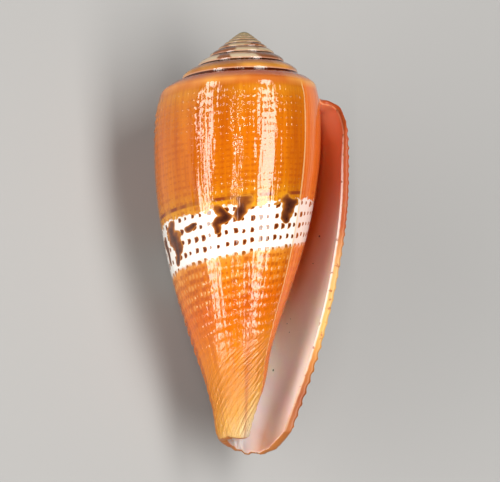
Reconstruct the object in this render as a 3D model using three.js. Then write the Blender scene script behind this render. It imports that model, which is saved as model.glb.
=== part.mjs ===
// A cone shell, 60 mm from apex to base, lying on its back with the aperture up.
// It is one piece: a wall that coils around its own axis and grows by the same share each whorl.
// Millimetres, +Z up, the shell's axis along Y with the apex towards +Y, resting on z = 0.
import * as THREE from "three";

// How it lies: the coil is rolled about its own axis until its weight is over what touches the
// surface, and the apex end is raised by the slope from the wide shoulder to the narrow base.
const ROLL = THREE.MathUtils.degToRad(-25.8);
const APEX_RISE = THREE.MathUtils.degToRad(4);

// Whorls are counted back from the lip. Sizes shrink by this rate for each whorl.
const WHORLS = 8;
const STEPS = 40; // columns to a whorl
const TURN = 2 * Math.PI;
const GROWTH_RATE = 0.315;
const GROWTH_SLOWING = 0.0047;
const APEX_SINK = 0.3;
const APEX_DEPTH = 1.5;

// The ramp of the spire at full growth, from the suture out to the rim that the next whorl covers.
const SHOULDER = { radius: 13.75, depth: 10.6 };
const RIM = { radius: 14.1, depth: 11.6 };
const SUTURE = { radius: 13.9, depth: 11.95 };
const RAMP_BULGE = 0.35;
const LIP_SAG = { depth: 0.7, whorls: 0.25 }; // how far the ramp sinks as it nears the lip
const RAMP_ROWS = 4;

// The flank below the rim at full growth: [depth from the apex, radius].
const FLANK = [
  [11.6, 14.1], [14, 14.6], [20, 14.85], [26, 14.6], [32, 13.8], [38, 12.65], [44, 11.1],
  [50, 9.15], [56, 7.05], [62, 5.2], [68, 4.1], [74, 1.8], [80, 0.7],
];
const PILLAR_RADIUS = 0.6;
const FLANK_ROWS = 22;
const LAST_ROW = RAMP_ROWS + FLANK_ROWS;

// The depth of the anterior margin: [whorls back from the lip, depth from the apex].
const MARGIN = [
  [0, 57], [0.04, 58.3], [0.08, 59.4], [0.14, 59.9], [0.23, 59.9], [0.29, 59.5],
  [0.35, 58.9], [0.42, 58.3], [0.5, 58.1], [0.75, 58], [1, 57.6], [2, 56.8],
];

// The lip's edge: [share of the way from suture to base, whorls ahead of the plane of the axis].
const LIP_LINE = [[0, -0.03], [0.12, -0.022], [0.2, 0.004], [0.45, 0.014], [0.8, 0.004], [1, -0.02]];
const LIP_REACH = 0.2;

// The wall over the living chamber, which goes this many columns in from the lip.
const WALL = 1.3;
const LIP_WALL = 1;
const LIP_BEVEL = 0.06;
const CHAMBER_STEPS = 33;
const ROOF_WALL = 1.1; // the wall under the ramp, as a share of the wall
const CORNER_WALL = 0.35;
const CLEARANCE = 0.5; // the most of the gap between two whorls that the wall may fill

const smooth = (t) => {
  const s = Math.min(1, Math.max(0, t));
  return s * s * (3 - 2 * s);
};

// A smooth curve through [x, y] pairs, level beyond its ends.
function curveThrough(points, x) {
  const last = points.length - 1;
  if (x <= points[0][0]) return points[0][1];
  if (x >= points[last][0]) return points[last][1];
  const i = points.findIndex((_, k) => x < points[k + 1][0]);
  const slope = (k) => {
    const [x0, y0] = points[Math.max(0, k - 1)];
    const [x1, y1] = points[Math.min(last, k + 1)];
    return (y1 - y0) / (x1 - x0);
  };
  const [x0, y0] = points[i];
  const [x1, y1] = points[i + 1];
  const width = x1 - x0;
  const t = (x - x0) / width;
  const bend = slope(i) * t * (1 - t) ** 2 - slope(i + 1) * t * t * (1 - t);
  return y0 * (1 + 2 * t) * (1 - t) ** 2 + y1 * t * t * (3 - 2 * t) + width * bend;
}

// Size and depth, n whorls back from the lip, of what is 1 or at this depth at full growth.
const growth = (n) => Math.exp(-GROWTH_RATE * n + GROWTH_SLOWING * n * n);
const sink = (n) => APEX_SINK * (1 - growth(n));
const grown = ({ radius, depth }, n) => [radius * growth(n), depth * growth(n) - sink(n)];

function flankRadius(depth, n) {
  const full = (depth + sink(n)) / growth(n);
  return Math.max(PILLAR_RADIUS, growth(n) * curveThrough(FLANK, full));
}

// [radius, depth] of a row of the outer surface: the ramp's rows, the rim, then the flank's.
function outerPoint(n, row) {
  const rim = grown(RIM, n);
  if (row === RAMP_ROWS) return rim;
  if (row > RAMP_ROWS) {
    const depth = THREE.MathUtils.lerp(rim[1], curveThrough(MARGIN, n), (row - RAMP_ROWS) / FLANK_ROWS);
    return [flankRadius(depth, n), depth];
  }
  const suture = grown(SUTURE, n + 1);
  const shoulder = grown(SHOULDER, n);
  const t = row / (RAMP_ROWS - 1);
  const bulge = RAMP_BULGE * growth(n) * Math.sin(Math.PI * t);
  const sag = LIP_SAG.depth * smooth(1 - n / LIP_SAG.whorls) * (1 - t);
  return [
    THREE.MathUtils.lerp(suture[0], shoulder[0], t),
    THREE.MathUtils.lerp(suture[1], shoulder[1], t) - bulge + sag,
  ];
}

// [radius, depth] of a row of the chamber's ceiling, kept clear of the whorl before it.
function innerPoint(n, row) {
  const [radius, depth] = outerPoint(n, row);
  const wall = THREE.MathUtils.lerp(LIP_WALL, WALL, smooth(n / LIP_BEVEL));
  const under = row <= RAMP_ROWS + 1 ? depth + wall * ROOF_WALL : depth;
  const floor = flankRadius(Math.max(under, grown(RIM, n + 1)[1]), n + 1);
  const thickness = Math.min(wall, CLEARANCE * (radius - floor));
  return [radius - thickness * (row === 2 ? CORNER_WALL : 1), under];
}

// Winds a [radius, depth] point around the axis; near the lip it follows the lip's edge.
function wind([radius, depth], n, row) {
  const ahead = curveThrough(LIP_LINE, row / LAST_ROW) * smooth(1 - n / LIP_REACH);
  const angle = TURN * (n - ahead);
  return new THREE.Vector3(radius * Math.cos(angle), radius * Math.sin(angle), -depth);
}

const vertices = [];
const faces = [];
const addVertex = (point) => vertices.push(point) - 1;
const triangle = (a, b, c) => faces.push([a, b, c]);
const quad = (a, b, c, d) => {
  triangle(a, b, c);
  triangle(a, c, d);
};

// Fills between two chains of vertices, both running the same way.
function fillBetween(one, two) {
  let i = 0;
  let j = 0;
  while (i < one.length - 1 || j < two.length - 1) {
    const share = (i + 1) / one.length - (j + 1) / two.length;
    const onOne = j === two.length - 1 || (i < one.length - 1 && share <= 0);
    const next = onOne ? one[i + 1] : two[j + 1];
    if (one[i] !== two[j]) triangle(one[i], next, two[j]);
    if (onOne) i += 1;
    else j += 1;
  }
}

const columns = WHORLS * STEPS;
const chamberFrom = columns - CHAMBER_STEPS;
const flankFrom = chamberFrom - STEPS;
const exposedFrom = columns - STEPS;
const whorlsBack = (column) => (columns - column) / STEPS;

// The outer surface. Each whorl's first row is the rim of the whorl before it.
const apex = addVertex(new THREE.Vector3(0, 0, -APEX_DEPTH * growth(WHORLS)));
const outer = [];
for (let i = 0; i <= columns; i += 1) {
  const n = whorlsBack(i);
  const rows = i < flankFrom ? RAMP_ROWS : LAST_ROW;
  outer.push([i < STEPS ? apex : outer[i - STEPS][RAMP_ROWS]]);
  for (let row = 1; row <= rows; row += 1) {
    outer[i].push(addVertex(wind(outerPoint(n, row), n, row)));
  }
}
for (let i = 0; i < columns; i += 1) {
  const rows = i < flankFrom ? RAMP_ROWS : LAST_ROW;
  for (let row = 0; row < rows; row += 1) {
    const [a, b] = [outer[i][row], outer[i][row + 1]];
    const [d, c] = [outer[i + 1][row], outer[i + 1][row + 1]];
    const underNextWhorl = row === RAMP_ROWS && i < exposedFrom;
    if (a === d) triangle(a, c, b);
    else if (!underNextWhorl) quad(a, d, c, b);
  }
}
for (let row = 1; row < RAMP_ROWS; row += 1) triangle(apex, outer[0][row], outer[0][row + 1]);

// The chamber: its ceiling starts where the whorl before it gives its floor.
const inner = [];
for (let i = chamberFrom; i <= columns; i += 1) {
  const n = whorlsBack(i);
  inner[i] = [outer[i - STEPS][RAMP_ROWS + 1]];
  for (let row = 2; row <= LAST_ROW; row += 1) {
    inner[i].push(addVertex(wind(innerPoint(n, row), n, row)));
  }
}
const bottom = LAST_ROW - 1;
for (let i = chamberFrom; i < columns; i += 1) {
  for (let k = 0; k < bottom; k += 1) {
    quad(inner[i][k], inner[i][k + 1], inner[i + 1][k + 1], inner[i + 1][k]);
  }
  quad(outer[i][LAST_ROW], outer[i + 1][LAST_ROW], inner[i + 1][bottom], inner[i][bottom]);
}
fillBetween(inner[columns], outer[columns]);
fillBetween(outer[flankFrom].slice(RAMP_ROWS + 1), inner[chamberFrom]);

// The foot of the pillar at the base.
const foot = addVertex(new THREE.Vector3(0, 0, -curveThrough(MARGIN, 2)));
const footEdge = outer.slice(flankFrom, chamberFrom + 1).map((chain) => chain[LAST_ROW]);
footEdge.push(inner[chamberFrom][bottom]);
footEdge.forEach((vertex, k) => triangle(foot, vertex, footEdge[(k + 1) % footEdge.length]));

const geometry = new THREE.BufferGeometry().setFromPoints(vertices);
geometry.setIndex(faces.flat());

// Lay the coil down: roll it about its own axis, tip its apex to +Y, and set it on z = 0.
const lie = new THREE.Matrix4().makeRotationX(APEX_RISE - Math.PI / 2);
geometry.applyMatrix4(new THREE.Matrix4().makeRotationZ(ROLL).premultiply(lie));
geometry.computeBoundingBox();
const { min, max } = geometry.boundingBox;
geometry.translate(-(min.x + max.x) / 2, -(min.y + max.y) / 2, -min.z);
geometry.computeVertexNormals();

const shellWall = new THREE.MeshStandardMaterial({ color: 0xe07a1c, roughness: 0.25, metalness: 0 });
const shell = new THREE.Mesh(geometry, shellWall);
shell.name = "cone_shell";

const coneShell = new THREE.Group();
coneShell.add(shell);
export default coneShell;
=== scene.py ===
"""A cone shell lying on its back with the aperture up.

The shell is one wall that coils around its own axis. Its sheets are laid out by whorls back from
the lip and by depth below the apex at full growth, and the markings follow the same two measures.
"""

import math
from types import SimpleNamespace

import bpy
import numpy as np
from mathutils import Matrix, Vector


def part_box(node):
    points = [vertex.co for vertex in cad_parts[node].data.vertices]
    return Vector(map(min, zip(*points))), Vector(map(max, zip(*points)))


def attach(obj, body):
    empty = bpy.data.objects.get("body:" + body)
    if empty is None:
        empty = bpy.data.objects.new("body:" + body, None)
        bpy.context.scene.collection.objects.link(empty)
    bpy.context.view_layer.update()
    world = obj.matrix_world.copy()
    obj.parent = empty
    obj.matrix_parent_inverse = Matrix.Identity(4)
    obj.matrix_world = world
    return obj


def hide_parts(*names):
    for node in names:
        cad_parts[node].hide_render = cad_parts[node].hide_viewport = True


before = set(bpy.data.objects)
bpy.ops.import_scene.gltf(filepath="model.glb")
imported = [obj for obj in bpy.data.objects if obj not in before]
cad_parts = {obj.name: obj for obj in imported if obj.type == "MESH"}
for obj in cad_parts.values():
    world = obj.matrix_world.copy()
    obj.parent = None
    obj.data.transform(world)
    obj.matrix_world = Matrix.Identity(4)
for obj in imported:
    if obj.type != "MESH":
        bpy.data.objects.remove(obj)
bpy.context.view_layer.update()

MM = 0.001
TURN = 2 * math.pi

# How the shell lies: rolled about its own axis, with the apex end raised.
ROLL = math.radians(-25.8)
APEX_RISE = math.radians(4)
LIE = Matrix.Rotation(APEX_RISE - math.pi / 2, 3, "X") @ Matrix.Rotation(ROLL, 3, "Z")

# The coil, in millimetres at full growth. Whorls are counted back from the lip.
GROWTH_RATE = 0.315
GROWTH_SLOWING = 0.0047
APEX_SINK = 0.3
APEX_DEPTH = 1.5
WHORLS = 10

# The ramp of the spire, as radius and depth, from the suture out to the rim.
SHOULDER = (13.75, 10.6)
RIM = (14.1, 11.6)
SUTURE = (13.9, 11.95)
RAMP_PLACES = (0, 0.07, 0.44, 0.81, 1)  # where the rows meet rim, suture, middle, shoulder and rim
RAMP_WIDTH = 5.1
RAMP_BULGE = 0.35
LIP_SAG = 0.7  # how far the ramp sinks as it nears the lip
SAG_REACH = 0.25  # in whorls

# The flank below the rim, as depth and radius, and the pillar that it narrows to.
FLANK = [
    (11.6, 14.1), (14, 14.6), (20, 14.85), (26, 14.6), (32, 13.8), (38, 12.65), (44, 11.1),
    (50, 9.15), (56, 7.05), (62, 5.2), (68, 4.1), (74, 1.8), (80, 0.7),
]
PILLAR_RADIUS = 0.6

# The margin at the base, as whorls back and depth, and the chips in it as far as it is open.
MARGIN = [
    (0, 57), (0.04, 58.3), (0.08, 59.4), (0.14, 59.9), (0.23, 59.9), (0.29, 59.5),
    (0.35, 58.9), (0.42, 58.3), (0.5, 58.1), (0.75, 58), (1, 57.6), (2, 56.8),
]
MARGIN_OPEN = 0.7
MARGIN_CHIPS = 0.28
CHIPS_START = 0.04  # in whorls, how soon the chips begin at the lip
CHIPS_END = 0.1  # and how soon they end where the margin closes

# The lip's edge, as a share of the way from suture to base and whorls ahead of the axis's plane.
LIP_LINE = [(0, -0.03), (0.12, -0.022), (0.2, 0.004), (0.45, 0.014), (0.8, 0.004), (1, -0.02)]
LIP_REACH = 0.2

# The wall over the living chamber, which is open for this share of a whorl.
CHAMBER = 0.825
WALL = 1.3
LIP_WALL = 1.05
LIP_ROOF = 0.5  # the wall at the top of the lip
LIP_BEVEL = 0.06  # in whorls
ROOF_WALL = 1.1  # the wall under the ramp, as a share of the wall
CORNER_WALL = 0.35  # the wall beside the suture, as a share of the wall
CLEARANCE = 0.5  # the most of the gap between two whorls that the wall may fill
LIP_ROUNDING = 0.22
MARGIN_ROUNDING = 0.2

# How finely the sheets are laid out.
COLUMNS = 336  # to a whorl
RAMP_ROWS = 14
FLANK_ROWS = 160
FLOOR_ROW = 6  # the flank's row where the next whorl's ceiling begins
CEILING_ROWS = RAMP_ROWS + FLANK_ROWS - FLOOR_ROW
CEILING_STATIONS = 26  # places from suture to base where the ceiling's height is set
RAMP_STATIONS = 4  # of those, the ones under the ramp
FIRST_STATION = 2  # the one beside the suture
LIP_WALL_STATIONS = 4  # how many it takes, below the rim, for the lip's wall to thicken
RAMP_SHARE = RAMP_STATIONS / CEILING_STATIONS
LIVING = round(CHAMBER * COLUMNS)
EDGE_STEPS = 4
HIDDEN_SHARE = 0.11  # how many of the hidden sheets' triangles are kept
SAME_PLACE = 1e-7  # in metres
NO_SIZE = 1e-8

# The cords and beads, in millimetres, by depth.
BEADS = 84  # to a whorl
CORD_NUMBERS = [(13, 0), (22, 7), (30, 14.5), (46, 24.5), (60, 33.3)]
CORD_HEIGHT = [
    (12.4, 0), (13.5, 0.08), (15.5, 0.14), (18.5, 0.11), (22, 0.06), (26, 0.04), (30, 0.07),
    (33, 0.03), (39, 0.03), (42, 0.08), (46, 0.14), (54, 0.19), (60, 0.16), (66, 0.1),
]
CORD_SHARPNESS = 2.2
BEAD_SHARPNESS = 2
CORD_EVENNESS = 0.8
BEADING = [(13, 0.95), (22, 0.85), (27, 0.55), (40, 0.5), (46, 0.6), (60, 0.5)]
RIM_FADE = 0.03  # the share of the flank over which the sculpture starts, below the rim
MARGIN_FADE = 0.02  # and over which it ends, above the margin
LIP_CORDS = 0.1  # what the cords gain at the lip's edge
LIP_CORDS_REACH = 0.03  # in whorls

# The base's oblique cords and the finer lines between them.
BASE_CORD_SPACING = 1.4
BASE_CORD_SLANT = 19  # millimetres deeper for each whorl back
BASE_CORD_HEIGHT = 0.18
BASE_CORD_SHARPNESS = 1.2
BASE_CORD_EVENNESS = 0.75
BASE_CORDS_FROM = 57
BASE_CORDS_FULL = 61
BASE_LINE_SPACING = 0.75

# The growth lines, the ramp's threads, and the seam of the glaze that the lip leaves.
GROWTH_LINE_HEIGHT = 0.05
RAMP_LINE_HEIGHT = 0.03
RAMP_THREAD_HEIGHT = 0.02
RAMP_THREADS = 4
SEAM_HEIGHT = 0.12
SEAM_WIDTH = 0.0035  # in whorls
SEAM_ENDS = 30
SEAM_FADE = 10
GLAZE_FILLS = 0.8  # the share of the sculpture that the glaze evens out
GLAZE_FEATHER = 0.02  # in whorls

# Uneven patches: how strong, how many to a whorl, how many to a millimetre of depth, and the seed.
LINE_WANDER = (0.6, 20, 0.5, 2)
BEAD_WANDER = (0.35, 30, 0.35, 3)
FINE_LINES = (0.6, 130, 0.16, 4)
UNEVEN_CORDS = (0.35, 12, 0.3, 5)
COARSE_LINES = (0.5, 34, 0.05, 6)
RAMP_LINES = (1, 90, 3, 7)
BASE_CORD_WANDER = (0.2, 16, 0.4, 8)
UNEVEN_BASE_CORDS = (0.35, 40, 0.8, 9)
COARSE_CHIPS = (1, 30, 0, 12)
FINE_CHIPS = (0.6, 120, 0, 13)

# The markings, in millimetres of depth at full growth.
LENGTH = 80  # where the colour stops end, past the base
AROUND = 75  # millimetres once round the body whorl, where patterns are laid out flat
BROWN_LINE = 31.9
BAND = (33.1, 41.2)
DOTS = 54  # to a whorl
FIRST_DOTS = 33.9
DOT_ROWS = 1.93
GLAZE_FROM = 0.884  # whorls back to where the lip's glaze covers the whorl beside it

# The aperture's lining pales towards the base, and inwards as if a whorl were so much deeper. Far inside
# it turns grey-brown again, as painted shade.
PALING_INWARDS = 45
PALING_CLOUDS = 6
PALE_LIP_SLANT = 0.0035  # how many whorls further in the pale lip reaches for each millimetre down

# What is too fine for the mesh, in millimetres of height.
GROWTH_LINE_BUMP = 0.034
GRAIN_BUMP = 0.08
BASE_LINE_BUMP = 0.08

# Aragonite's refractive index is 1.53 to 1.69, depending on the way through it.
SHELL_IOR = 1.6

# Dark flames in the pale band. Each stroke runs between two places, given as whorls back and
# depth, and is as wide to each side in millimetres as the last two numbers say.
FLAMES = [
    (0.852, 33.6, 0.853, 36.9, 1.52, 0.53), (0.75, 33, 0.741, 35.6, 1.25, 0.59),
    (0.7, 33.4, 0.716, 35, 0.66, 0.59), (0.716, 35, 0.691, 36, 0.59, 0.79),
    (0.691, 36, 0.694, 37.4, 0.73, 0.4), (0.565, 35.3, 0.582, 37.4, 1.5, 1.1),
    (0.582, 37.4, 0.572, 40.4, 1, 0.5), (0.624, 35.8, 0.647, 35.2, 0.66, 0.2),
    (0.524, 36.2, 0.53, 39.5, 0.79, 0.53), (0.134, 34.4, 0.135, 36.5, 1.25, 1.06),
    (0.133, 36.5, 0.124, 37.7, 0.66, 0.26), (0.262, 33.6, 0.245, 34.8, 0.73, 0.99),
    (0.245, 34.8, 0.224, 36, 0.92, 0.53), (0.224, 36, 0.2, 36.9, 0.53, 0.86),
    (0.208, 37, 0.215, 38, 0.53, 0.53), (0.252, 36, 0.26, 36, 0.53, 0.53),
    (0.386, 33.7, 0.362, 34.9, 0.66, 0.33), (0.375, 34.2, 0.402, 35.4, 0.46, 0.73),
    (0.402, 35.4, 0.362, 36.6, 0.46, 0.2), (0.306, 35.9, 0.319, 35.8, 0.46, 0.59),
    (0.284, 36, 0.297, 35.9, 0.4, 0.53), (0.044, 34.8, 0.05, 37.6, 1.06, 0.53),
    (0.08, 35, 0.086, 34.9, 0.53, 0.46), (0.44, 34.6, 0.456, 37.2, 0.99, 0.46),
    (0.485, 34, 0.476, 35.8, 0.79, 0.46),
]
NO_FLAME = 9.0  # the reach kept where none is near

# Specks of dirt in the aperture, as whorls back, depth and radius.
SPECKS = [
    (0.154, 50.3, 0.2), (0.0913, 29.5, 0.16), (0.141, 43, 0.09), (0.13, 44.2, 0.09),
    (0.134, 42.2, 0.07), (0.099, 33.6, 0.09),
]

# The studio. Each soft box is a name, degrees to the right, width and height in metres, and watts.
SOFTBOXES = [
    ("left_softbox", -46, 0.165, 1, 5.2),
    ("right_softbox", 40, 0.2, 1, 6.8),
    ("front_softbox", -3, 0.012, 0.7, 0.8),
]
LAMP_DISTANCE = 0.6
LAMP_DIP = 0.03
FLOOR_SIZE = 3
WORLD_STRENGTH = 0.08

# The camera looks straight at the aperture, from a little towards the base.
FRAME_WIDTH = 70.75 * MM
CAMERA_DIP = math.radians(7)
FOCAL_LENGTH = 240


# The coil.


def smooth(t):
    s = np.clip(t, 0, 1)
    return s * s * (3 - 2 * s)


def lerp(a, b, t):
    return a + (b - a) * t


def wave(turns):
    """1 at each whole turn and 0 half way between."""
    return 0.5 + 0.5 * np.cos(TURN * turns)


def curve_through(points, x):
    """A smooth curve through (x, y) pairs, level beyond its ends. A y may be a number or an array."""
    xs = np.array([p[0] for p in points], float)
    ys = np.array([p[1] for p in points], float)
    x = np.clip(x, xs[0], xs[-1])
    i = np.clip(np.searchsorted(xs, x, side="right") - 1, 0, len(xs) - 2)
    before = np.maximum(np.arange(len(xs)) - 1, 0)
    after = np.minimum(np.arange(len(xs)) + 1, len(xs) - 1)
    run = (xs[after] - xs[before]).reshape((-1,) + (1,) * (ys.ndim - 1))
    slopes = (ys[after] - ys[before]) / run
    width = xs[i + 1] - xs[i]
    t = (x - xs[i]) / width
    fit = t.shape + (1,) * (ys.ndim - 1)
    t = t.reshape(fit)
    width = width.reshape(fit)
    level = ys[i] * (1 + 2 * t) * (1 - t) ** 2 + ys[i + 1] * t * t * (3 - 2 * t)
    return level + width * (slopes[i] * t * (1 - t) ** 2 - slopes[i + 1] * t * t * (1 - t))


def cell_noise(x, y, seed):
    """Smooth noise from -1 to 1 with one random value to each whole x and y."""
    size = 256
    values = np.random.default_rng(seed).uniform(-1, 1, (size, size))
    i, j = np.floor(x).astype(int), np.floor(y).astype(int)
    s, t = smooth(x - i), smooth(y - j)

    def at(a, b):
        return values[a % size, b % size]

    return lerp(lerp(at(i, j), at(i + 1, j), s), lerp(at(i, j + 1), at(i + 1, j + 1), s), t)


def mottle(n, depth, patches):
    """Smooth noise either side of 0, in one of the sets of patches named above."""
    strength, to_a_whorl, to_a_millimetre, seed = patches
    return strength * cell_noise(n * to_a_whorl, depth * to_a_millimetre, seed)


def growth(n):
    """The shell's size n whorls back, as a share of its size at the lip."""
    return np.exp(-GROWTH_RATE * n + GROWTH_SLOWING * n * n)


def sink(n):
    return APEX_SINK * (1 - growth(n))


def grown(place, n):
    """(radius, depth), n whorls back, of a place given at full growth."""
    return np.stack([place[0] * growth(n), place[1] * growth(n) - sink(n)], -1)


def full_depth(depth, n):
    """The depth at full growth of what is at this depth n whorls back."""
    return (depth + sink(n)) / growth(n)


def flank_radius(depth, n):
    return np.maximum(PILLAR_RADIUS, growth(n) * curve_through(FLANK, full_depth(depth, n)))


def lip_sag(n):
    """How far the suture sinks as it nears the lip."""
    return LIP_SAG * smooth(1 - n / SAG_REACH)


def ramp_places(n):
    """(radius, depth) of the ramp's rows, from the rim of the whorl before out to this one's."""
    suture = grown(SUTURE, n + 1)
    shoulder = grown(SHOULDER, n)
    middle = (suture + shoulder) / 2
    middle[:, 1] -= RAMP_BULGE * growth(n)
    suture[:, 1] += lip_sag(n)
    middle[:, 1] += lip_sag(n) / 2
    stations = zip(RAMP_PLACES, (grown(RIM, n + 1), suture, middle, shoulder, grown(RIM, n)))
    rows = np.linspace(0, 1, RAMP_ROWS + 1)
    places = curve_through(list(stations), rows)

    # The first whorl is a domed cap.
    nucleus = n > WHORLS - 1
    cap = rows[:, None, None] * grown(RIM, n)
    cap[..., 1] = lerp(APEX_DEPTH * growth(WHORLS), grown(RIM, n)[:, 1], rows[:, None] ** 2)
    return np.where(nucleus[:, None], cap, places)


def margin_depth(n):
    """The depth of the margin at the base, a little chipped where it is open."""
    chips = np.maximum(mottle(n, n, COARSE_CHIPS), 0) + np.maximum(mottle(n, n, FINE_CHIPS), 0)
    exposed = smooth(n / CHIPS_START) * smooth((MARGIN_OPEN - n) / CHIPS_END)
    return curve_through(MARGIN, n) - MARGIN_CHIPS * chips * exposed


def flank_places(n):
    """(radius, depth) of the flank's rows, from the rim down to the margin."""
    rows = np.linspace(0, 1, FLANK_ROWS + 1)[:, None]
    depth = lerp(grown(RIM, n)[:, 1], margin_depth(n), rows)
    return np.stack([flank_radius(depth, n + 0 * depth), depth], -1)


def outer_station(n, row):
    """(radius, depth) on the outside of the wall, at one of the stations from suture to base."""
    if row > RAMP_STATIONS:
        down = (row - RAMP_STATIONS) / (CEILING_STATIONS - RAMP_STATIONS)
        depth = lerp(grown(RIM, n)[:, 1], margin_depth(n), down)
        return np.stack([flank_radius(depth, n), depth], -1)
    if row == RAMP_STATIONS:
        return grown(RIM, n)
    out = row / (RAMP_STATIONS - 1)
    place = lerp(grown(SUTURE, n + 1), grown(SHOULDER, n), out)
    place[:, 1] -= RAMP_BULGE * growth(n) * math.sin(math.pi * out)
    place[:, 1] += lip_sag(n) * (1 - out)
    return place


def ceiling_station(n, row):
    """(radius, depth) on the inside of the wall, under the same station."""
    place = outer_station(n, row)
    lip_wall = lerp(LIP_ROOF, LIP_WALL, smooth((row - RAMP_STATIONS) / LIP_WALL_STATIONS))
    wall = lerp(lip_wall, WALL, smooth(n / LIP_BEVEL))
    roofed = row <= RAMP_STATIONS + 1
    under = place[:, 1] + (wall * ROOF_WALL if roofed else 0)
    floor = flank_radius(np.maximum(under, grown(RIM, n + 1)[:, 1]), n + 1)
    thickness = np.minimum(wall, CLEARANCE * (place[:, 0] - floor))
    if row == FIRST_STATION:
        thickness = thickness * CORNER_WALL
    return np.stack([place[:, 0] - thickness, under], -1)


def ceiling_places(n):
    """(radius, depth) of the ceiling's rows, starting on the flank of the whorl before."""
    shoulder_row = RAMP_ROWS - FLOOR_ROW
    stations = [(0, flank_places(n + 1)[FLOOR_ROW])]
    for row in range(FIRST_STATION, CEILING_STATIONS + 1):
        if row < RAMP_STATIONS:
            place = shoulder_row * (row - 1) / (RAMP_STATIONS - 1)
        else:
            down = FLANK_ROWS * (row - RAMP_STATIONS) / (CEILING_STATIONS - RAMP_STATIONS)
            place = shoulder_row + down
        stations.append((place, ceiling_station(n, row)))
    return curve_through(stations, np.arange(CEILING_ROWS + 1))


def wound(places, n, share):
    """Points in metres, on the lying coil. share is the way along the lip, suture to base."""
    ahead = curve_through(LIP_LINE, share)[:, None] * smooth(1 - n / LIP_REACH)
    angle = TURN * (n - ahead)
    radius, depth = places[..., 0], places[..., 1]
    points = np.stack([radius * np.cos(angle), radius * np.sin(angle), -depth], -1)
    return points @ np.array(LIE).T * MM


# The sculpture.


def cord_number(depth):
    """Whole on each spiral cord and half way between on each groove."""
    return curve_through(CORD_NUMBERS, depth)


def spiral_cords(n, depth):
    """Height in millimetres of the spiral cords, which are cut into beads."""
    cord = wave(cord_number(depth)) ** CORD_SHARPNESS
    bead = wave(BEADS * n + mottle(n, depth, BEAD_WANDER)) ** BEAD_SHARPNESS
    beading = curve_through(BEADING, depth)
    height = curve_through(CORD_HEIGHT, depth) * (CORD_EVENNESS + mottle(n, depth, UNEVEN_CORDS))
    height = height + LIP_CORDS * smooth(1 - n / LIP_CORDS_REACH)
    return height * cord * (1 - beading + beading * bead)


def oblique_cords(n, depth):
    """Height in millimetres of the base's oblique cords."""
    slant = (depth + BASE_CORD_SLANT * n) / BASE_CORD_SPACING
    slant = slant + mottle(n, depth, BASE_CORD_WANDER)
    uneven = BASE_CORD_EVENNESS + mottle(n, depth, UNEVEN_BASE_CORDS)
    return BASE_CORD_HEIGHT * wave(slant) ** BASE_CORD_SHARPNESS * uneven


def growth_lines(n, depth):
    """Height in millimetres of the growth lines, fine and coarse."""
    strength, to_a_whorl, to_a_millimetre, seed = FINE_LINES
    wandering = n * to_a_whorl + mottle(n, depth, LINE_WANDER)
    fine = strength * cell_noise(wandering, depth * to_a_millimetre, seed)
    return GROWTH_LINE_HEIGHT * (fine + mottle(n, depth, COARSE_LINES))


def glaze_seam(n, depth):
    """Height in millimetres of the edge of the glaze that the lip leaves on the whorl beside it."""
    across = (n - GLAZE_FROM) / SEAM_WIDTH
    return SEAM_HEIGHT * np.exp(-(across ** 2)) * smooth((SEAM_ENDS - depth) / SEAM_FADE)


def flank_relief(n, depth):
    """Height in millimetres of all that stands out from the flank, at a depth at full growth."""
    low = smooth((depth - BASE_CORDS_FROM) / (BASE_CORDS_FULL - BASE_CORDS_FROM))
    cords = lerp(spiral_cords(n, depth), oblique_cords(n, depth), low)
    filled = GLAZE_FILLS * smooth((n - GLAZE_FROM - 0.001) / GLAZE_FEATHER)
    return (cords + growth_lines(n, depth)) * (1 - filled) + glaze_seam(n, depth)


def ramp_relief(n, rows):
    """Height in millimetres of the ramp's faint threads and growth lines."""
    threads = RAMP_THREAD_HEIGHT * np.cos(TURN * RAMP_THREADS * rows)
    lines = RAMP_LINE_HEIGHT * mottle(n, rows, RAMP_LINES)
    return (threads + lines) * growth(n)


def flame_reach(n, depth):
    """0 along the middle of the nearest dark flame, 1 at its edge and more outside."""
    nearest = np.full(np.broadcast(n, depth).shape, NO_FLAME)
    for n_0, depth_0, n_1, depth_1, half_0, half_1 in FLAMES:
        around = TURN * flank_radius(depth_0, n_0)
        x, y = (n - n_0) * around, depth - depth_0
        run, drop = (n_1 - n_0) * around, depth_1 - depth_0
        t = np.clip((x * run + y * drop) / (run * run + drop * drop), 0, 1)
        nearest = np.minimum(nearest, np.hypot(x - t * run, y - t * drop) / lerp(half_0, half_1, t))
    return nearest


# The sheets of the wall.


def outward(points):
    """Unit normals of a sheet laid out by rows down and whorls back."""
    normal = np.cross(np.gradient(points, axis=0), np.gradient(points, axis=1))
    return normal / np.maximum(np.linalg.norm(normal, axis=-1, keepdims=True), 1e-12)


def raised(points, height):
    """The points moved out along the sheet's normals by a height in millimetres."""
    return points + outward(points) * height[..., None] * MM


def ramp_sheet(n):
    """The ramp's points, and the depth at full growth that each of its rows stands for."""
    rows = np.linspace(0, 1, RAMP_ROWS + 1)[:, None]
    points = wound(ramp_places(n), n, RAMP_SHARE * rows[:, 0])
    fade = np.sin(math.pi * rows) ** 0.5
    return raised(points, ramp_relief(n, rows) * fade), RIM[1] - RAMP_WIDTH * (1 - rows)


def flank_sheet(n):
    """The flank's points and their depths at full growth."""
    rows = np.linspace(0, 1, FLANK_ROWS + 1)
    places = flank_places(n)
    depth = full_depth(places[..., 1], n)
    points = wound(places, n, lerp(RAMP_SHARE, 1, rows))
    fade = smooth(rows / RIM_FADE) * smooth((1 - rows) / MARGIN_FADE)
    return raised(points, flank_relief(n, depth) * fade[:, None]), depth


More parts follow.
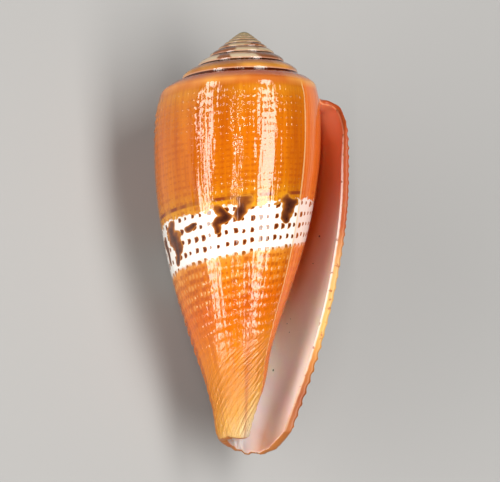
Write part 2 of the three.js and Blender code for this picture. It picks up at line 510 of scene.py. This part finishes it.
def ceiling_sheet(n, floor_line):
    """The chamber's ceiling, from a line on its floor: its points and their depths at full growth."""
    ramp_share = RAMP_SHARE * np.linspace(0, 1, RAMP_ROWS + 1)[FLOOR_ROW:]
    flank_share = lerp(RAMP_SHARE, 1, np.linspace(0, 1, FLANK_ROWS + 1)[1:])
    places = ceiling_places(n)
    points = wound(places, n, np.concatenate([ramp_share, flank_share]))
    points[0] = floor_line
    return points, full_depth(places[..., 1], n)


def edge_strip(one, two, rounding, way):
    """A strip between two rows of points, rounded out one way by so many millimetres."""
    along = np.linspace(0, 1, len(one))[:, None]
    push = rounding * MM * np.array(LIE @ Vector(way)) * np.sin(math.pi * along) ** 0.3
    steps = np.linspace(0, 1, EDGE_STEPS + 1)[:, None, None]
    return lerp(one, two, steps) + push * np.sin(math.pi * steps)


def mark_growth(mesh, whorls_back, depth):
    """A UV map of the sheet's growth, and how near each vertex is to a flame and to a cord."""
    corners = np.empty(len(mesh.loops), int)
    mesh.loops.foreach_get("vertex_index", corners)
    growth_map = mesh.uv_layers[0]
    growth_map.name = "growth"
    measures = np.stack([whorls_back, depth], -1)
    growth_map.data.foreach_set("uv", measures[corners].astype(np.float32).ravel())
    marks = {"dark_flame": flame_reach(whorls_back, depth), "cord": cord_number(depth)}
    for mark, values in marks.items():
        attribute = mesh.attributes.new(mark, "FLOAT", "POINT")
        attribute.data.foreach_set("value", values.astype(np.float32))


def sheet(name, points, material, whorls_back, depth, shown_to):
    """A grid laid onto the coil. What is further back than shown_to whorls is thinned later.

    No operator winds a growing wall, so the grid's vertices are moved onto the coil in code.
    """
    rows, columns = points.shape[:2]
    bpy.ops.object.select_all(action="DESELECT")
    bpy.ops.mesh.primitive_grid_add(x_subdivisions=columns - 1, y_subdivisions=rows - 1)
    made = bpy.context.object
    made.name = name
    made.data.materials.append(material)
    made.data.vertices.foreach_set("co", points.astype(np.float32).ravel())
    whorls_back = np.broadcast_to(whorls_back, (rows, columns)).ravel()
    depth = np.broadcast_to(depth, (rows, columns)).ravel()
    mark_growth(made.data, whorls_back, depth)
    hidden = np.flatnonzero(whorls_back > shown_to)
    made.vertex_groups.new(name="hidden").add(hidden.tolist(), 1, "REPLACE")
    made.data.update()
    return made


def wall_sheets(patterned, glaze, rim):
    """All the sheets of the wall, as separate grids that meet along their edges."""
    n_ramp = np.arange(WHORLS * COLUMNS + 1) / COLUMNS
    n_flank = n_ramp[: COLUMNS + LIVING + 1]
    n_ceiling = n_ramp[: LIVING + 1]
    ramp, ramp_depth = ramp_sheet(n_ramp)
    flank, flank_depth = flank_sheet(n_flank)
    ceiling, ceiling_depth = ceiling_sheet(n_ceiling, flank[FLOOR_ROW, COLUMNS:])

    # The edges of the lip and of the margin at the base, from the outer wall round to the inner.
    lip_outside = np.concatenate([ramp[:, 0], flank[1:, 0]])
    lip_inside = np.concatenate([flank[:FLOOR_ROW, COLUMNS], ceiling[:, 0]])
    lip = edge_strip(lip_outside, lip_inside, LIP_ROUNDING, (0, -1, 0))
    lip_depth = np.concatenate([ramp_depth[:, 0], flank_depth[1:, 0]])
    margin = edge_strip(flank[-1, : LIVING + 1], ceiling[-1], MARGIN_ROUNDING, (0, 0, -1))
    across = np.linspace(0, 1, EDGE_STEPS + 1)[:, None]

    # The wall where the open chamber ends, and the very start of the coil.
    behind = FLOOR_ROW + np.maximum(np.arange(CEILING_ROWS + 1) - RAMP_ROWS + FLOOR_ROW, 0)
    end = np.stack([ceiling[:, -1], flank[np.minimum(behind, FLANK_ROWS), -1]])
    start = np.stack([ramp[:, -1], np.repeat(ramp[:1, -1], RAMP_ROWS + 1, 0)])

    last = slice(0, COLUMNS + 1)
    below = slice(FLOOR_ROW, None)
    past = slice(COLUMNS, None)
    return [
        sheet("ramp", ramp, patterned, n_ramp, ramp_depth, shown_to=3),
        sheet("last_flank", flank[:, last], patterned, n_flank[last], flank_depth[:, last], shown_to=1),
        sheet("floor", flank[below, past], glaze, n_flank[past], flank_depth[below, past], shown_to=1.03),
        sheet("ceiling", ceiling, glaze, n_ceiling, ceiling_depth, shown_to=0.27),
        sheet("lip", lip, rim, -across, lip_depth, shown_to=0),
        sheet("margin", margin, rim, n_ceiling, flank_depth[-1, : LIVING + 1], shown_to=1),
        sheet("chamber_end", end, glaze, n_ceiling[-1], ceiling_depth[:, -1], shown_to=1),
        sheet("nucleus", start, patterned, WHORLS, ramp_depth[:, 0], shown_to=WHORLS),
    ]


def close_and_thin():
    """Closes the joined sheets into one wall, and thins the triangles that are out of sight."""
    bpy.ops.object.mode_set(mode="EDIT")
    bpy.ops.mesh.select_all(action="SELECT")
    bpy.ops.mesh.remove_doubles(threshold=SAME_PLACE)
    bpy.ops.mesh.dissolve_degenerate(threshold=NO_SIZE)
    bpy.ops.mesh.select_mode(type="EDGE")
    bpy.ops.mesh.select_all(action="DESELECT")
    bpy.ops.mesh.select_non_manifold(
        use_wire=False, use_multi_face=False, use_non_contiguous=False, use_verts=False
    )
    bpy.ops.mesh.edge_face_add()
    bpy.ops.mesh.select_mode(type="VERT")
    bpy.ops.mesh.select_all(action="DESELECT")
    bpy.ops.object.vertex_group_set_active(group="hidden")
    bpy.ops.object.vertex_group_select()
    bpy.ops.mesh.decimate(ratio=HIDDEN_SHARE)
    bpy.ops.mesh.select_all(action="SELECT")
    bpy.ops.mesh.quads_convert_to_tris()
    bpy.ops.mesh.normals_make_consistent(inside=False)
    bpy.ops.object.mode_set(mode="OBJECT")
    bpy.ops.object.shade_smooth()


def build_shell():
    """The shell's wall: outer sheets, ceiling and edges, joined into one closed mesh."""
    pieces = wall_sheets(patterned_shell(), aperture_glaze(), lip_rim())
    bpy.ops.object.select_all(action="DESELECT")
    for piece in pieces:
        piece.select_set(True)
    bpy.context.view_layer.objects.active = pieces[0]
    bpy.ops.object.join()
    shell = bpy.context.object
    shell.name = "shell_wall"
    close_and_thin()
    return shell


def place_shell(shell):
    """Moves the mesh so that it rests on the floor, centred on the frame's solid."""
    mesh = shell.data
    points = np.empty(len(mesh.vertices) * 3, np.float32)
    mesh.vertices.foreach_get("co", points)
    points = points.reshape(-1, 3)
    low, high = (np.array(corner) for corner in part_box("cone_shell"))
    middle = (points.min(0) + points.max(0)) / 2
    shift = (low + high) / 2 - middle
    shift[2] = low[2] - points[:, 2].min()
    mesh.vertices.foreach_set("co", (points + shift).astype(np.float32).ravel())
    mesh.update()


# The materials.


def linear(hex_colour):
    """An sRGB hex colour as linear RGBA."""
    channels = [int(hex_colour[i : i + 2], 16) / 255 for i in (0, 2, 4)]
    lit = [c / 12.92 if c <= 0.04045 else ((c + 0.055) / 1.055) ** 2.4 for c in channels]
    return (*lit, 1)


def plug(tree, node, inputs):
    """Sets a node's sockets, by name or number, to values, or links them to nodes and outputs."""
    for socket, value in inputs.items():
        if isinstance(socket, str):
            place = next(s for s in node.inputs if s.enabled and s.name == socket)
        else:
            place = node.inputs[socket]
        if isinstance(value, bpy.types.Node):
            value = next(o for o in value.outputs if o.enabled)
        if isinstance(value, bpy.types.NodeSocket):
            tree.links.new(value, place)
        else:
            place.default_value = value


def add(tree, kind, inputs, stops=(), **settings):
    """Adds a node with its settings, its colour stops and what goes into its sockets."""
    made = tree.nodes.new("ShaderNode" + kind)
    for name, value in settings.items():
        setattr(made, name, value)
    while stops and len(made.color_ramp.elements) < len(stops):
        made.color_ramp.elements.new(1)
    for k, (position, colour) in enumerate(stops):
        made.color_ramp.elements[k].position = position
        made.color_ramp.elements[k].color = linear(colour)
    plug(tree, made, inputs)
    return made


def by_depth(stops):
    """Colour stops placed by depth in millimetres."""
    return [(depth / LENGTH, colour) for depth, colour in stops]


def new_material(name):
    """A material, its node tree and its surface shader."""
    material = bpy.data.materials.new(name)
    material.use_nodes = True
    return material, material.node_tree, material.node_tree.nodes["Principled BSDF"]


def growth_measures(tree):
    """Where a point is on the coil, for patterns to read.

    That is in whorls back from the lip, in millimetres of depth at full growth, in shares of
    LENGTH, and as a place in millimetres on the surface.
    """
    growth_map = add(tree, "UVMap", {}, uv_map="growth")
    split = add(tree, "SeparateXYZ", {0: growth_map})
    place = add(tree, "VectorMath", {0: growth_map, 1: (AROUND, 1, 1)}, operation="MULTIPLY")
    share = add(tree, "Math", {0: split.outputs[1], 1: LENGTH}, operation="DIVIDE")
    return SimpleNamespace(whorls=split.outputs[0], depth=split.outputs[1], share=share, place=place)


def growth_streaks(tree, coil, narrow, long, detail=3):
    """Noise drawn out along the growth lines, narrow by long in millimetres."""
    stretch = (1 / narrow, 1 / long, 1)
    drawn = add(tree, "VectorMath", {0: coil.place, 1: stretch}, operation="MULTIPLY")
    return add(tree, "TexNoise", {"Vector": drawn, "Scale": 1, "Detail": detail})


def speckles(tree, coil, row, to_a_whorl, half_width, half_height, chance):
    """How far off the nearest of rows of marks is: 1 at a mark's edge, and less inside.

    The marks' sizes and places are uneven by chance. Each is round on the side away from the lip
    and flat on the side towards it.
    """
    around = add(tree, "Math", {0: coil.whorls, 1: to_a_whorl}, operation="MULTIPLY")
    place = add(tree, "CombineXYZ", {0: around, 1: row})
    cell = add(tree, "VectorMath", {0: place}, operation="FLOOR")
    inside = add(tree, "VectorMath", {0: place}, operation="FRACTION")
    luck = add(tree, "TexWhiteNoise", {"Vector": cell}, noise_dimensions="3D")

    jitter = (-0.26, -0.14, 0)
    moved = {0: luck.outputs["Color"], 1: jitter, 2: inside}
    nudged = add(tree, "VectorMath", moved, operation="MULTIPLY_ADD")
    centre = (0.5 + jitter[0] / 2, 0.5 + jitter[1] / 2, 0)
    centred = add(tree, "VectorMath", {0: nudged, 1: centre}, operation="SUBTRACT")
    stretch = (1 / half_width, 1 / half_height, 0)
    stretched = add(tree, "VectorMath", {0: centred, 1: stretch}, operation="MULTIPLY")

    far_side = add(tree, "VectorMath", {0: stretched, 1: (0, -9, 0)}, operation="MAXIMUM")
    rounded = add(tree, "VectorMath", {0: far_side}, operation="LENGTH")
    flat = add(tree, "VectorMath", {0: stretched, 1: (-1.25, 0, 0)}, operation="DOT_PRODUCT")
    reach = add(tree, "Math", {0: rounded, 1: flat}, operation="MAXIMUM")
    sizes = {"Value": luck.outputs["Value"], "To Min": 1 - chance, "To Max": 1 + chance}
    size = add(tree, "MapRange", sizes)
    return add(tree, "Math", {0: reach, 1: size}, operation="DIVIDE")


def body_ground(tree, coil, fine):
    """The body's amber by depth, with wide and fine streaks along the growth lines."""
    ground = add(tree, "ValToRGB", {0: coil.share}, by_depth([
        (11, "a84c08"), (12.6, "c07614"), (15, "bc6806"), (21, "c06400"), (29, "c06802"),
        (31, "c2750a"), (33, "cc8c18"), (41, "d99139"), (43.5, "cc740e"), (50, "cc6002"),
        (58, "cc7408"), (64, "c87c14"), (68, "cc9034"), (72, "d4b47c"), (76, "d8ccc0"),
    ]))
    wide = growth_streaks(tree, coil, 5, 60)
    for streaks, stops in (
        (wide, [(0.3, "d0a080"), (0.5, "ffffff"), (0.75, "fff0c8")]),
        (fine, [(0.3, "ead8ca"), (0.6, "ffffff")]),
    ):
        tint = add(tree, "ValToRGB", {0: streaks}, stops)
        tinted = {"Factor": 0.8, "A": ground, "B": tint}
        ground = add(tree, "Mix", tinted, data_type="RGBA", blend_type="MULTIPLY")
    return ground


def dashes_and_grains(tree, coil, cord, grain, ground):
    """Dark dashes in the grooves between the cords, and pale grains on the cords, partly painted glints on
    the upper body.
    """
    dash = speckles(tree, coil, cord, BEADS, half_width=0.42, half_height=0.15, chance=0.7)
    dash_depth = [
        (13, "000000"), (18, "8c8c8c"), (30, "b8b8b8"), (40, "d0d0d0"), (48, "c0c0c0"), (58, "505050"),
    ]
    # Pale grains: strongest just below the band, as their own colour; on the upper body a faint pale that
    # is partly painted glint on the beads.
    grain_and_glint_depth = [(12, "202020"), (40, "303030"), (43, "a0a0a0"), (48, "a0a0a0"), (53, "303030")]
    for marks, core, strength, colour in (
        (dash, 0.6, dash_depth, "9a4208"), (grain, 0.5, grain_and_glint_depth, "dfa656"),
    ):
        amount = add(tree, "MapRange", {"Value": marks, "From Min": 1.2, "From Max": core})
        there = add(tree, "ValToRGB", {0: coil.share}, by_depth(strength))
        amount = add(tree, "Math", {0: amount, 1: there}, operation="MULTIPLY")
        marked = {"Factor": amount, "A": ground, "B": linear(colour)}
        ground = add(tree, "Mix", marked, data_type="RGBA")
    return ground


def brown_line(tree, coil, ground):
    """A broken brown line above the band."""
    off = add(tree, "Math", {0: coil.depth, 1: BROWN_LINE}, operation="SUBTRACT")
    off = add(tree, "Math", {0: off}, operation="ABSOLUTE")
    line = add(tree, "MapRange", {"Value": off, "From Min": 0.42, "From Max": 0.2})
    broken = growth_streaks(tree, coil, 3.2, 30, 1)
    broken = add(tree, "MapRange", {"Value": broken, "From Min": 0.4, "From Max": 0.55})
    line = add(tree, "Math", {0: line, 1: broken}, operation="MULTIPLY")
    return add(tree, "Mix", {"Factor": line, "A": ground, "B": linear("7d3511")}, data_type="RGBA")


def band_share(tree, coil, ragged):
    """1 in the pale band and 0 outside it. Its edges waver and are ragged."""
    uneven = growth_streaks(tree, coil, 7, 60, 1)
    upper = add(tree, "Math", {0: uneven, 1: -3, 2: coil.depth}, operation="MULTIPLY_ADD")
    upper = add(tree, "Math", {0: ragged, 1: 2, 2: upper}, operation="MULTIPLY_ADD")
    upper_edge = {"Value": upper, "From Min": BAND[0] - 0.35, "From Max": BAND[0] - 0.05}
    over = add(tree, "MapRange", upper_edge)
    lower = add(tree, "Math", {0: ragged, 1: 1.3, 2: coil.depth}, operation="MULTIPLY_ADD")
    lower_edge = {"Value": lower, "From Min": BAND[1] + 1.4, "From Max": BAND[1] + 0.6}
    under = add(tree, "MapRange", lower_edge)
    return add(tree, "Math", {0: over, 1: under}, operation="MULTIPLY")


def pale_band(tree, coil, ragged, band, ground):
    """The pale band, with its rows of brown dots."""
    rows = {
        "Value": coil.depth, "From Min": FIRST_DOTS - DOT_ROWS / 2, "From Max": FIRST_DOTS + DOT_ROWS / 2,
    }
    row = add(tree, "MapRange", rows, clamp=False)
    dot = speckles(tree, coil, row, DOTS, half_width=0.25, half_height=0.2, chance=0.3)
    dot = add(tree, "Math", {0: ragged, 1: 1.1, 2: dot}, operation="MULTIPLY_ADD")
    dot = add(tree, "Math", {0: dot, 1: 2}, operation="DIVIDE")
    dotted = add(tree, "ValToRGB", {0: dot}, [
        (0.45, "542007"), (0.66, "77340c"), (0.75, "a35a18"), (0.8, "cba36c"), (0.86, "e1dcd4"),
    ])
    return add(tree, "Mix", {"Factor": band, "A": ground, "B": dotted}, data_type="RGBA")


def dark_flames(tree, coil, ground):
    """The dark flames of the band, a little torn, with a tan edge."""
    flame = add(tree, "Attribute", {}, attribute_name="dark_flame").outputs["Fac"]
    torn = growth_streaks(tree, coil, 2.2, 1.8, 1)
    torn = add(tree, "Math", {0: torn, 1: 2, 2: flame}, operation="MULTIPLY_ADD")
    torn = add(tree, "Math", {0: torn, 1: 3}, operation="DIVIDE")
    brown = add(tree, "ValToRGB", {0: torn}, [
        (0.3, "3a180c"), (0.46, "562812"), (0.57, "7e4216"), (0.64, "b4701f"),
    ])
    amount = add(tree, "MapRange", {"Value": torn, "From Min": 0.68, "From Max": 0.65})
    return add(tree, "Mix", {"Factor": amount, "A": ground, "B": brown}, data_type="RGBA")


def lip_glaze(tree, coil, fine, band, ground):
    """The salmon glaze that the lip leaves over the whorl beside it, and the glaze's pale edge."""
    start = {
        "Value": coil.whorls, "From Min": GLAZE_FROM, "From Max": GLAZE_FROM + 0.006, "To Max": 0.75,
    }
    covered = add(tree, "MapRange", start)
    thin = add(tree, "MapRange", {"Value": band, "To Min": 1, "To Max": 0.35})
    covered = add(tree, "Math", {0: covered, 1: thin}, operation="MULTIPLY")
    salmon = add(tree, "ValToRGB", {0: fine}, [(0.3, "cb5411"), (0.7, "d9702e")])
    ground = add(tree, "Mix", {"Factor": covered, "A": ground, "B": salmon}, data_type="RGBA")

    off = add(tree, "Math", {0: coil.whorls, 1: GLAZE_FROM + 0.003}, operation="SUBTRACT")
    off = add(tree, "Math", {0: off}, operation="ABSOLUTE")
    edge = add(tree, "MapRange", {"Value": off, "From Min": 0.0035, "From Max": 0.001, "To Max": 0.7})
    return add(tree, "Mix", {"Factor": edge, "A": ground, "B": linear("ddae73")}, data_type="RGBA")


def spire_ground(tree, coil, age):
    """Cream with brown flames on the young whorls, and amber to orange on the later ones."""
    flames = growth_streaks(tree, coil, 9, 7, 2)
    flame_age = add(tree, "Math", {0: flames, 1: 0.16, 2: age}, operation="MULTIPLY_ADD")
    ground = add(tree, "ValToRGB", {0: flame_age}, [
        (0.1, "a83e04"), (0.17, "a84202"), (0.2, "843602"), (0.235, "a86c1c"),
        (0.265, "8a4808"), (0.3, "b8a488"), (0.6, "94805c"), (1, "7a744c"),
    ])
    flame = add(tree, "MapRange", {"Value": flames, "From Min": 0.52, "From Max": 0.57, "To Max": 0.9})
    young = add(tree, "MapRange", {"Value": age, "From Min": 0.14, "From Max": 0.24})
    older = add(tree, "MapRange", {"Value": age, "From Min": 0.62, "From Max": 0.5})
    young = add(tree, "Math", {0: young, 1: older}, operation="MULTIPLY")
    flame = add(tree, "Math", {0: flame, 1: young}, operation="MULTIPLY")
    return add(tree, "Mix", {"Factor": flame, "A": ground, "B": linear("6c340c")}, data_type="RGBA")


def spire(tree, coil):
    """The ramp's colours: its ground, browner at the suture with painted shadow under the rim above, gold
    with painted highlight towards the rim, and a worn keel at the rim.
    """
    age = add(tree, "Math", {0: coil.whorls, 1: WHORLS}, operation="DIVIDE")
    ground = spire_ground(tree, coil, age)
    ramp = {"Value": coil.depth, "From Min": RIM[1] - RAMP_WIDTH, "From Max": RIM[1]}
    across = add(tree, "MapRange", ramp)
    # Darker towards the suture: partly the ramp's own brown there, partly painted shadow under the rim of
    # the whorl above.
    shade = add(tree, "ValToRGB", {0: across}, [
        (0, "301808"), (0.1, "583010"), (0.25, "a03c18"), (0.5, "d09464"), (0.75, "ffffff"), (1, "ffffff"),
    ])
    shaded = {"Factor": 0.9, "A": ground, "B": shade}
    ground = add(tree, "Mix", shaded, data_type="RGBA", blend_type="MULTIPLY")

    # Gold towards the rim on the later whorls: partly gold patches, partly a painted highlight.
    gold_and_painted_highlight = add(tree, "MapRange", {"Value": across, "From Min": 0.45, "From Max": 0.9})
    patchy = growth_streaks(tree, coil, 8, 9, 2)
    patches = {"Value": patchy, "From Min": 0.42, "From Max": 0.62, "To Min": 0.25, "To Max": 0.9}
    patchy = add(tree, "MapRange", patches)
    gold_and_painted_highlight = add(tree, "Math", {0: gold_and_painted_highlight, 1: patchy}, operation="MULTIPLY")
    later = add(tree, "MapRange", {"Value": age, "From Min": 0.24, "From Max": 0.16})
    gold_and_painted_highlight = add(tree, "Math", {0: gold_and_painted_highlight, 1: later}, operation="MULTIPLY")
    ground = add(tree, "Mix", {"Factor": gold_and_painted_highlight, "A": ground, "B": linear("e0a04c")}, data_type="RGBA")

    keel = add(tree, "MapRange", {"Value": across, "From Min": 0.93, "From Max": 0.98, "To Max": 0.5})
    past_last = add(tree, "Math", {0: coil.whorls, 1: 0.99}, operation="GREATER_THAN")
    keel = add(tree, "Math", {0: keel, 1: past_last}, operation="MULTIPLY")
    return add(tree, "Mix", {"Factor": keel, "A": ground, "B": linear("d8ccb8")}, data_type="RGBA")


def grain_bump(tree, coil, grain, under):
    """The beads' rounded tops, where the glaze doesn't cover them."""
    tops = {"Value": grain, "From Min": 1.0, "From Max": 0.15}
    rise = add(tree, "MapRange", tops, interpolation_type="SMOOTHSTEP")
    strength = add(tree, "ValToRGB", {0: coil.share}, by_depth([
        (12, "000000"), (14, "ffffff"), (18, "e0e0e0"), (22, "909090"), (27, "606060"), (30, "b0b0b0"),
        (33, "303030"), (41, "505050"), (46, "d0d0d0"), (57, "a0a0a0"), (60, "000000"),
    ]))
    rise = add(tree, "Math", {0: rise, 1: strength}, operation="MULTIPLY")
    start = {"Value": coil.whorls, "From Min": GLAZE_FROM + 0.004, "From Max": GLAZE_FROM}
    bare = add(tree, "MapRange", start)
    rise = add(tree, "Math", {0: rise, 1: bare}, operation="MULTIPLY")
    return add(tree, "Bump", {"Height": rise, "Distance": GRAIN_BUMP * MM, "Normal": under})


def base_line_bump(tree, coil, ragged, under):
    """Fine oblique lines on the base."""
    slanted = {0: coil.whorls, 1: BASE_CORD_SLANT, 2: coil.depth}
    lines = add(tree, "Math", slanted, operation="MULTIPLY_ADD")
    lines = add(tree, "Math", {0: ragged, 1: 0.35, 2: lines}, operation="MULTIPLY_ADD")
    lines = add(tree, "Math", {0: lines, 1: TURN / BASE_LINE_SPACING}, operation="MULTIPLY")
    lines = add(tree, "Math", {0: lines}, operation="SINE")
    crests = {"Value": lines, "From Min": -0.4}
    lines = add(tree, "MapRange", crests, interpolation_type="SMOOTHSTEP")
    base = {"Value": coil.depth, "From Min": BASE_CORDS_FROM - 2, "From Max": BASE_CORDS_FULL}
    on_base = add(tree, "MapRange", base)
    lines = add(tree, "Math", {0: lines, 1: on_base}, operation="MULTIPLY")
    return add(tree, "Bump", {"Height": lines, "Distance": BASE_LINE_BUMP * MM, "Normal": under})


def patterned_shell():
    """The outside: aragonite that the mantle laid down along the lip, line after line.

    Crossed layers under a hard, clear, polished surface give deep colour with sharp highlights,
    which the growth lines and the rows of beads break up. Each marking was laid at the lip, so
    they run in rows. Real growth lines are about 0.1 mm apart, too fine to show, so they are
    drawn 0.42 mm apart.
    """
    material, tree, surface = new_material("patterned_aragonite")
    coil = growth_measures(tree)
    fine = growth_streaks(tree, coil, 0.5, 12)
    ragged = growth_streaks(tree, coil, 0.9, 0.9, 2)
    cord = add(tree, "Attribute", {}, attribute_name="cord").outputs["Fac"]
    on_cord = add(tree, "Math", {0: cord, 1: 0.5}, operation="ADD")
    grain = speckles(tree, coil, on_cord, BEADS, half_width=0.34, half_height=0.2, chance=0.5)

    body = body_ground(tree, coil, fine)
    body = dashes_and_grains(tree, coil, cord, grain, body)
    body = brown_line(tree, coil, body)
    band = band_share(tree, coil, ragged)
    body = pale_band(tree, coil, ragged, band, body)
    body = dark_flames(tree, coil, body)
    body = lip_glaze(tree, coil, fine, band, body)
    rim = {"Value": coil.depth, "From Min": RIM[1] - 0.6, "From Max": RIM[1] + 0.6}
    on_flank = add(tree, "MapRange", rim)
    both = {"Factor": on_flank, "A": spire(tree, coil), "B": body}

    lines = growth_streaks(tree, coil, 0.42, 6, 1)
    bump = add(tree, "Bump", {"Height": lines, "Distance": GROWTH_LINE_BUMP * MM})
    bump = grain_bump(tree, coil, grain, bump)
    bump = base_line_bump(tree, coil, ragged, bump)
    plug(tree, surface, {
        "Base Color": add(tree, "Mix", both, data_type="RGBA"),
        "Roughness": add(tree, "MapRange", {"Value": fine, "To Min": 0.04, "To Max": 0.11}),
        "IOR": SHELL_IOR,
        "Specular Tint": linear("fffbf4"),
        "Normal": bump,
    })
    return material


def specks(tree, coil):
    """How far the specks of dirt hide the surface."""
    hidden = 0
    for n, depth, radius in SPECKS:
        middle = {0: coil.place, 1: (n * AROUND, depth, 0)}
        away = add(tree, "VectorMath", middle, operation="DISTANCE")
        speck = add(tree, "MapRange", {"Value": away, "From Min": radius, "From Max": radius * 0.7})
        hidden = add(tree, "Math", {0: hidden, 1: speck}, operation="MAXIMUM")
    return hidden


def glaze_colour(tree, coil):
    """Salmon red by the spire, lilac white by the base, grey-brown painted shade far inside, and paler
    near the lip, partly as painted reflection off the lip's inner wall.
    """
    inner = {0: coil.whorls, 1: PALING_INWARDS, 2: coil.depth}
    paler = add(tree, "Math", inner, operation="MULTIPLY_ADD")
    cloud = growth_streaks(tree, coil, 6, 14, 2)
    paler = add(tree, "Math", {0: cloud, 1: PALING_CLOUDS, 2: paler}, operation="MULTIPLY_ADD")
    share = add(tree, "Math", {0: paler, 1: LENGTH}, operation="DIVIDE")
    # Past the lilac white the stops turn grey-brown: painted shade deep inside the chamber.
    ground = add(tree, "ValToRGB", {0: share}, by_depth([
        (15, "ff9a70"), (22, "ff7840"), (36, "ff7434"), (44, "ff8c54"), (52, "fcc4a0"),
        (60, "fce4d8"), (67, "ecdcd8"), (73, "d0bcb8"), (79, "a08c84"),
    ]))
    # Paler near the lip: partly the lining's own paler colour there, partly painted reflection off the
    # lip's inner wall.
    slanted = {0: coil.depth, 1: -PALE_LIP_SLANT, 2: coil.whorls}
    inwards = add(tree, "Math", slanted, operation="MULTIPLY_ADD")
    near = {"Value": inwards, "From Min": 0.01, "From Max": -0.08, "To Max": 0.95}
    near_lip = add(tree, "MapRange", near)
    pale_lip_and_reflection = add(tree, "ValToRGB", {0: coil.share}, by_depth([
        (14, "ff9a68"), (21, "ffa880"), (28, "fcdccc"), (40, "fcf0e8"), (47, "fce8dc"),
        (54, "e4c8b8"), (60, "b48468"),
    ]))
    return add(tree, "Mix", {"Factor": near_lip, "A": ground, "B": pale_lip_and_reflection}, data_type="RGBA")


def aperture_glaze():
    """The aperture's lining: aragonite that the mantle laid down smooth, like a porcelain glaze.

    It has no growth lines to speak of. Light goes a few millimetres into it, so it looks soft and
    its shadows are warm, and its shine is broad. A few specks of dirt lie on it.
    """
    material, tree, surface = new_material("aperture_porcelain")
    coil = growth_measures(tree)
    dirty = {"Factor": specks(tree, coil), "A": glaze_colour(tree, coil), "B": linear("24120c")}
    lines = growth_streaks(tree, coil, 0.8, 14, 2)
    plug(tree, surface, {
        "Base Color": add(tree, "Mix", dirty, data_type="RGBA"),
        "Roughness": 0.26,
        "IOR": SHELL_IOR,
        "Specular IOR Level": 0.3,
        "Subsurface Weight": 0.6,
        "Subsurface Radius": (1, 0.35, 0.15),
        "Subsurface Scale": 3 * MM,
        "Normal": add(tree, "Bump", {"Height": lines, "Strength": 0.25, "Distance": 0.08 * MM}),
    })
    return material


def lip_rim():
    """The growing edge of the wall: bare layers of aragonite that end at the lip, a little rough.

    The outer layer shows orange, darkened in part as painted shade on the crenulated edge, with brown
    spots where the cords' dashes reach it, and the inner one shows the glaze's cream, lightened in part as
    a painted highlight along the bevel. Unpolished, it has only a dull shine.
    """
    material, tree, surface = new_material("lip_edge_aragonite")
    coil = growth_measures(tree)
    # The outer layer's orange: partly its own colour, partly painted shade on the crenulated edge.
    outer = add(tree, "ValToRGB", {0: coil.share}, by_depth([
        (10, "a84414"), (28, "9c4414"), (35, "c89858"), (43, "cc9c50"), (47, "b06c28"),
        (52, "8c441c"), (60, "a0602c"),
    ]))
    # The inner layer's near-white cream: partly its own colour, partly a painted highlight along the
    # bevel.
    inner = add(tree, "ValToRGB", {0: coil.share}, by_depth([
        (12, "f0a070"), (20, "fce8dc"), (40, "fcf0e4"), (50, "d8b498"), (58, "a87450"),
    ]))
    across = add(tree, "MapRange", {"Value": coil.whorls, "From Min": -0.68, "From Max": -0.9})
    colour = add(tree, "Mix", {"Factor": across, "A": outer, "B": inner}, data_type="RGBA")
    spots = growth_streaks(tree, coil, 60, 0.8, 2)
    spots = add(tree, "MapRange", {"Value": spots, "From Min": 0.6, "From Max": 0.66, "To Max": 0.8})
    spotted = {"Factor": spots, "A": colour, "B": linear("9a5426")}
    plug(tree, surface, {
        "Base Color": add(tree, "Mix", spotted, data_type="RGBA"),
        "Roughness": 0.4,
        "IOR": SHELL_IOR,
        "Specular IOR Level": 0.25,
    })
    return material


def pale_paper():
    """The studio's background paper: uncoated and matt, a pale warm grey."""
    material, tree, surface = new_material("pale_paper")
    plug(tree, surface, {"Base Color": linear("979592"), "Roughness": 0.9})
    return material


# The studio.


def looking(place, back, up):
    """A camera's or lamp's matrix at a place, with its back and up directions."""
    right = up.cross(back).normalized()
    square_up = back.cross(right)
    turn = Matrix((right, square_up, back)).transposed().to_4x4()
    return Matrix.Translation(place) @ turn


def lay_floor():
    bpy.ops.object.select_all(action="DESELECT")
    bpy.ops.mesh.primitive_plane_add(size=FLOOR_SIZE)
    floor = bpy.context.object
    floor.name = "studio_floor"
    floor.data.materials.append(pale_paper())


def light_studio(centre, right, up, back):
    """Upright soft boxes around the camera, and a dim pale world."""
    for name, side, width, height, power in SOFTBOXES:
        lamp = bpy.data.lights.new(name, "AREA")
        lamp.shape = "RECTANGLE"
        lamp.size = width
        lamp.size_y = height
        lamp.energy = power
        light = bpy.data.objects.new(name, lamp)
        bpy.context.collection.objects.link(light)
        angle = math.radians(side)
        towards = back * math.cos(angle) + right * math.sin(angle) - up * LAMP_DIP
        towards.normalize()
        light.matrix_world = looking(centre + towards * LAMP_DISTANCE, towards, up)
    world = bpy.data.worlds.new("studio")
    bpy.context.scene.world = world
    world.use_nodes = True
    background = world.node_tree.nodes["Background"]
    plug(world.node_tree, background, {"Color": linear("e6e9ee"), "Strength": WORLD_STRENGTH})


def place_camera(centre, up, back):
    lens = bpy.data.cameras.new("camera")
    lens.lens = FOCAL_LENGTH
    camera = bpy.data.objects.new("camera", lens)
    bpy.context.collection.objects.link(camera)
    away = back * math.cos(CAMERA_DIP) - up * math.sin(CAMERA_DIP)
    distance = FRAME_WIDTH * lens.lens / lens.sensor_width
    camera.matrix_world = looking(centre + away * distance, away, up)
    bpy.context.scene.camera = camera
    bpy.context.scene.view_settings.view_transform = "Standard"


shell = build_shell()
place_shell(shell)
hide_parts("cone_shell")
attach(shell, "root")

right, up, back = (LIE @ Vector(axis) for axis in ((1, 0, 0), (0, 0, 1), (0, -1, 0)))
low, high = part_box("cone_shell")
centre = (low + high) / 2
lay_floor()
light_studio(centre, right, up, back)
place_camera(centre, up, back)
